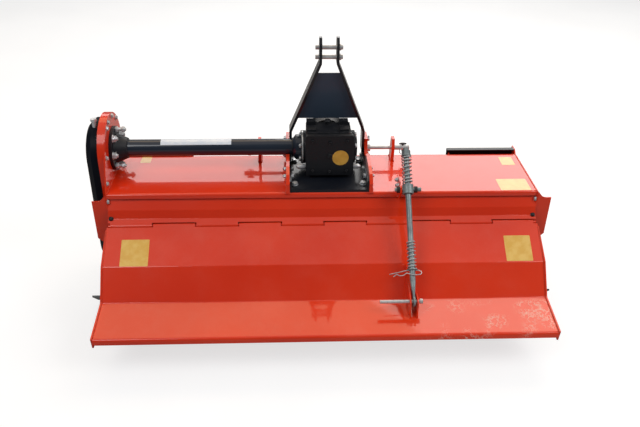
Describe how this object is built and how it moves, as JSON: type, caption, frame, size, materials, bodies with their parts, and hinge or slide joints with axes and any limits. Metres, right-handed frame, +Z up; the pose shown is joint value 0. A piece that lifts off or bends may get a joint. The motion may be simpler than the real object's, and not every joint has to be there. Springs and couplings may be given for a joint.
{
  "type": "rotary tiller",
  "caption": "Three-point-hitch rotary tiller: tined rotor under a hood, side gear drive from a central gearbox, hinged tailboard on a sprung rod, side skids.",
  "frame": {"origin": "middle of the machine's footprint, on the ground it stands on", "axes": "+X to the right seen from behind, +Y forward to the tractor, +Z up"},
  "size_m": [2.09, 0.946, 1.173],
  "materials": {
    "red_paint": "gloss orange-red paint",
    "black_paint": "satin blue-black paint",
    "zinc_plate": "grey zinc plate",
    "bare_steel": "machined and oiled",
    "tine_paint": "satin black paint on forged tines",
    "black_plastic": "moulded black"
  },
  "bodies": {
    "frame": {"hood_deck": "red_paint", "hood_rear_panel": "red_paint", "hinge_rod": "red_paint", "side_plate_right": "red_paint", "side_plate_left": "red_paint", "side_wings": "red_paint", "gear_case": "red_paint", "gear_case_cover": "black_paint", "filler_plug": "zinc_plate", "tube_bell": "black_paint", "drive_tube": "black_paint", "gearbox_housing": "black_paint", "gearbox_rear_cover": "black_paint", "gearbox_side_caps": "black_paint", "gearbox_base": "black_paint", "pto_guard": "black_plastic", "hitch_brackets": "red_paint", "mast_bars": "black_paint", "mast_guard": "black_paint", "top_link_pins": "zinc_plate", "hitch_ears": "red_paint", "hitch_pins": "zinc_plate", "front_guards": "black_paint", "front_guard_arms": "red_paint", "skid_right": "black_paint", "skid_left": "black_paint", "rotor_bearing": "black_paint", "collar_bracket": "red_paint"},
    "rotor": {"rotor_tube": "black_paint", "tine_flanges": "tine_paint"},
    "input_shaft": {"pto_shaft": "bare_steel"},
    "tailboard": {"tailboard_sheet": "red_paint", "tailboard_gussets": "red_paint", "rod_ears": "red_paint", "rod_pin": "zinc_plate"},
    "rod": {"adjusting_rod": "zinc_plate", "rod_nut": "zinc_plate", "lower_spring": "zinc_plate", "spring_washer": "zinc_plate", "retaining_clip": "zinc_plate"},
    "collar": {"swivel_collar": "zinc_plate", "trunnion_nuts": "black_paint", "upper_spring": "zinc_plate"}
  },
  "joints": [
    {"name": "rotor_spin", "type": "hinge", "parent": "frame", "child": "rotor", "pos_m": [0, 0.203, 0.245], "axis": [-1, 0, 0], "continuous": true},
    {"name": "pto_spin", "type": "hinge", "parent": "frame", "child": "input_shaft", "pos_m": [0.022, 0.352, 0.69], "axis": [0, 1, 0], "continuous": true},
    {"name": "tailboard_hinge", "type": "hinge", "parent": "frame", "child": "tailboard", "pos_m": [0, -0.018, 0.432], "axis": [-1, 0, 0], "range_deg": [0, 35]},
    {"name": "rod_pivot", "type": "hinge", "parent": "tailboard", "child": "rod", "pos_m": [0.355, -0.352, 0.266], "axis": [1, 0, 0], "range_deg": [0, 7.61]},
    {"name": "collar_swivel", "type": "hinge", "parent": "frame", "child": "collar", "pos_m": [0.355, -0.007, 0.597], "axis": [-1, 0, 0], "range_deg": [0, 27.41]}
  ],
  "couplings": [
    {"joint": "pto_spin", "follows": "rotor_spin", "ratio": 2.35},
    {"joint": "rod_pivot", "follows": "tailboard_hinge", "ratio": 0.217},
    {"joint": "collar_swivel", "follows": "tailboard_hinge", "ratio": 0.783}
  ]
}
